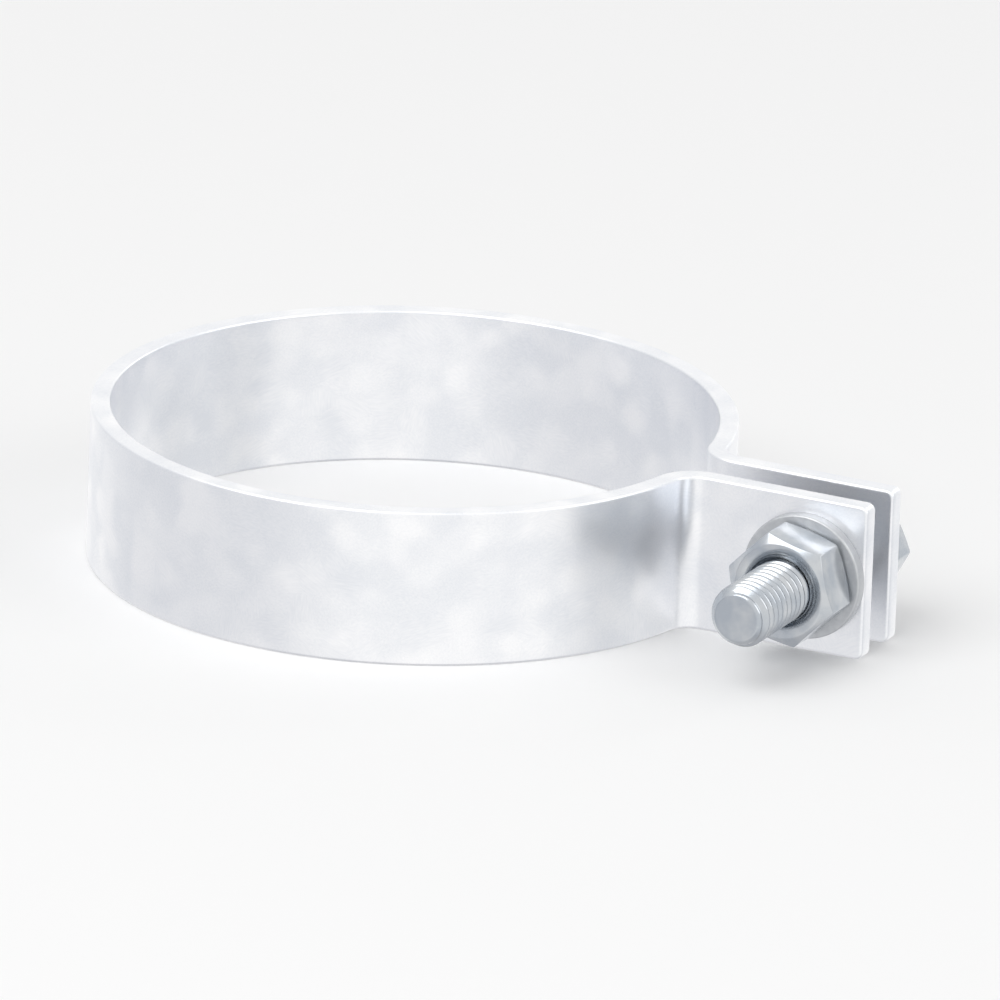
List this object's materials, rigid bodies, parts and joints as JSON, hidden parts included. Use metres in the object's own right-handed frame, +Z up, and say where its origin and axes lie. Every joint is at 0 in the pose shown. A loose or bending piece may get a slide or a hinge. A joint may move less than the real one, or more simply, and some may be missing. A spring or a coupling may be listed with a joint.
{
  "type": "sign post clamp",
  "caption": "Folded steel strip clamp for a round sign post, with flat drilled ears that a hex bolt, washer and nut draw together over a sign panel's edge.",
  "frame": {"origin": "on the post's axis, at half the height of the band", "axes": "+Z up along the post, +X out along the middle of the gap between the ears, the bolt along Y with its head at +Y"},
  "size_m": [0.1057, 0.0812, 0.02],
  "materials": {
    "galvanised_strip": "galvanised, satin with a faint spangle",
    "zinc_plated_bolt": "bright zinc plated",
    "zinc_plated_washer": "satin zinc plated"
  },
  "bodies": {
    "root": {"strap": "galvanised_strip", "bolt": "zinc_plated_bolt", "washer": "zinc_plated_washer", "nut": "zinc_plated_bolt"}
  },
  "joints": []
}
